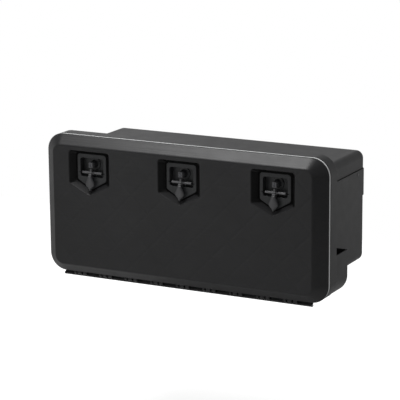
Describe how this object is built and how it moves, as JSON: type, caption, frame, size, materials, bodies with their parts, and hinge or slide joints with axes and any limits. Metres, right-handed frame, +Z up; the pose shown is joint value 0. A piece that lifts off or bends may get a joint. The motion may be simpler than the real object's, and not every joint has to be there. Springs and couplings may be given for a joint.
{
  "type": "vehicle tool box",
  "caption": "Deep moulded tool box with a drop-down door on a long bottom hinge, pull latches with key cylinders in shield pockets, a grey mouth seal and hollow feet.",
  "frame": {"origin": "middle of the tub's flat underside, where it rests on its bracket arms", "axes": "+Z up, +X to the right seen from the door, -Y towards the door"},
  "size_m": [1, 0.4245, 0.474],
  "materials": {
    "black_plastic": "black moulded polypropylene, fine grain",
    "lock_plastic": "black glass-filled nylon, satin",
    "grey_seal": "light grey rubber",
    "zinc_steel": "bright zinc plate",
    "spring_steel": "drawn spring wire"
  },
  "bodies": {
    "box": {"body_tub": "black_plastic", "mouth_seal": "grey_seal", "hinge_rod": "zinc_steel", "left_rod_cap": "black_plastic", "right_rod_cap": "black_plastic", "left_side_plug": "lock_plastic", "right_side_plug": "lock_plastic", "left_keeper": "zinc_steel", "middle_keeper": "zinc_steel", "right_keeper": "zinc_steel"},
    "door": {"door_shell": "black_plastic", "left_lock_housing": "lock_plastic", "left_key_body": "lock_plastic", "left_pivot_pin": "zinc_steel", "left_latch_guide": "zinc_steel", "left_return_spring": "spring_steel", "middle_lock_housing": "lock_plastic", "middle_key_body": "lock_plastic", "middle_pivot_pin": "zinc_steel", "middle_latch_guide": "zinc_steel", "middle_return_spring": "spring_steel", "right_lock_housing": "lock_plastic", "right_key_body": "lock_plastic", "right_pivot_pin": "zinc_steel", "right_latch_guide": "zinc_steel", "right_return_spring": "spring_steel"},
    "left_lever_body": {"left_lever": "lock_plastic"},
    "left_latch": {"left_latch_bolt": "zinc_steel"},
    "left_key": {"left_key_plug": "zinc_steel"},
    "middle_lever_body": {"middle_lever": "lock_plastic"},
    "middle_latch": {"middle_latch_bolt": "zinc_steel"},
    "middle_key": {"middle_key_plug": "zinc_steel"},
    "right_lever_body": {"right_lever": "lock_plastic"},
    "right_latch": {"right_latch_bolt": "zinc_steel"},
    "right_key": {"right_key_plug": "zinc_steel"}
  },
  "joints": [
    {"name": "door_hinge", "type": "hinge", "parent": "box", "child": "door", "pos_m": [0, -0.2145, -0.0576], "axis": [1, 0, 0], "range_deg": [0, 180]},
    {"name": "left_lever_pull", "type": "hinge", "parent": "door", "child": "left_lever_body", "pos_m": [-0.3265, -0.238, 0.2946], "axis": [-1, 0, 0], "range_deg": [0, 30]},
    {"name": "middle_lever_pull", "type": "hinge", "parent": "door", "child": "middle_lever_body", "pos_m": [0, -0.238, 0.2946], "axis": [-1, 0, 0], "range_deg": [0, 30]},
    {"name": "right_lever_pull", "type": "hinge", "parent": "door", "child": "right_lever_body", "pos_m": [0.3265, -0.238, 0.2946], "axis": [-1, 0, 0], "range_deg": [0, 30]},
    {"name": "left_latch_slide", "type": "slide", "parent": "door", "child": "left_latch", "axis": [0, 0, -1], "range_m": [0, 0.015], "stiffness_N_per_m": 600, "springref_m": -0.01, "deforming": ["left_return_spring"]},
    {"name": "middle_latch_slide", "type": "slide", "parent": "door", "child": "middle_latch", "axis": [0, 0, -1], "range_m": [0, 0.015], "stiffness_N_per_m": 600, "springref_m": -0.01, "deforming": ["middle_return_spring"]},
    {"name": "right_latch_slide", "type": "slide", "parent": "door", "child": "right_latch", "axis": [0, 0, -1], "range_m": [0, 0.015], "stiffness_N_per_m": 600, "springref_m": -0.01, "deforming": ["right_return_spring"]},
    {"name": "left_key_turn", "type": "hinge", "parent": "door", "child": "left_key", "pos_m": [-0.3265, -0.238, 0.3209], "axis": [0, 1, 0], "range_deg": [0, 90]},
    {"name": "middle_key_turn", "type": "hinge", "parent": "door", "child": "middle_key", "pos_m": [0, -0.238, 0.3209], "axis": [0, 1, 0], "range_deg": [0, 90]},
    {"name": "right_key_turn", "type": "hinge", "parent": "door", "child": "right_key", "pos_m": [0.3265, -0.238, 0.3209], "axis": [0, 1, 0], "range_deg": [0, 90]}
  ],
  "couplings": [
    {"joint": "left_lever_pull", "follows": "left_latch_slide", "rad_per_m": 34.9},
    {"joint": "middle_lever_pull", "follows": "middle_latch_slide", "rad_per_m": 34.9},
    {"joint": "right_lever_pull", "follows": "right_latch_slide", "rad_per_m": 34.9}
  ]
}
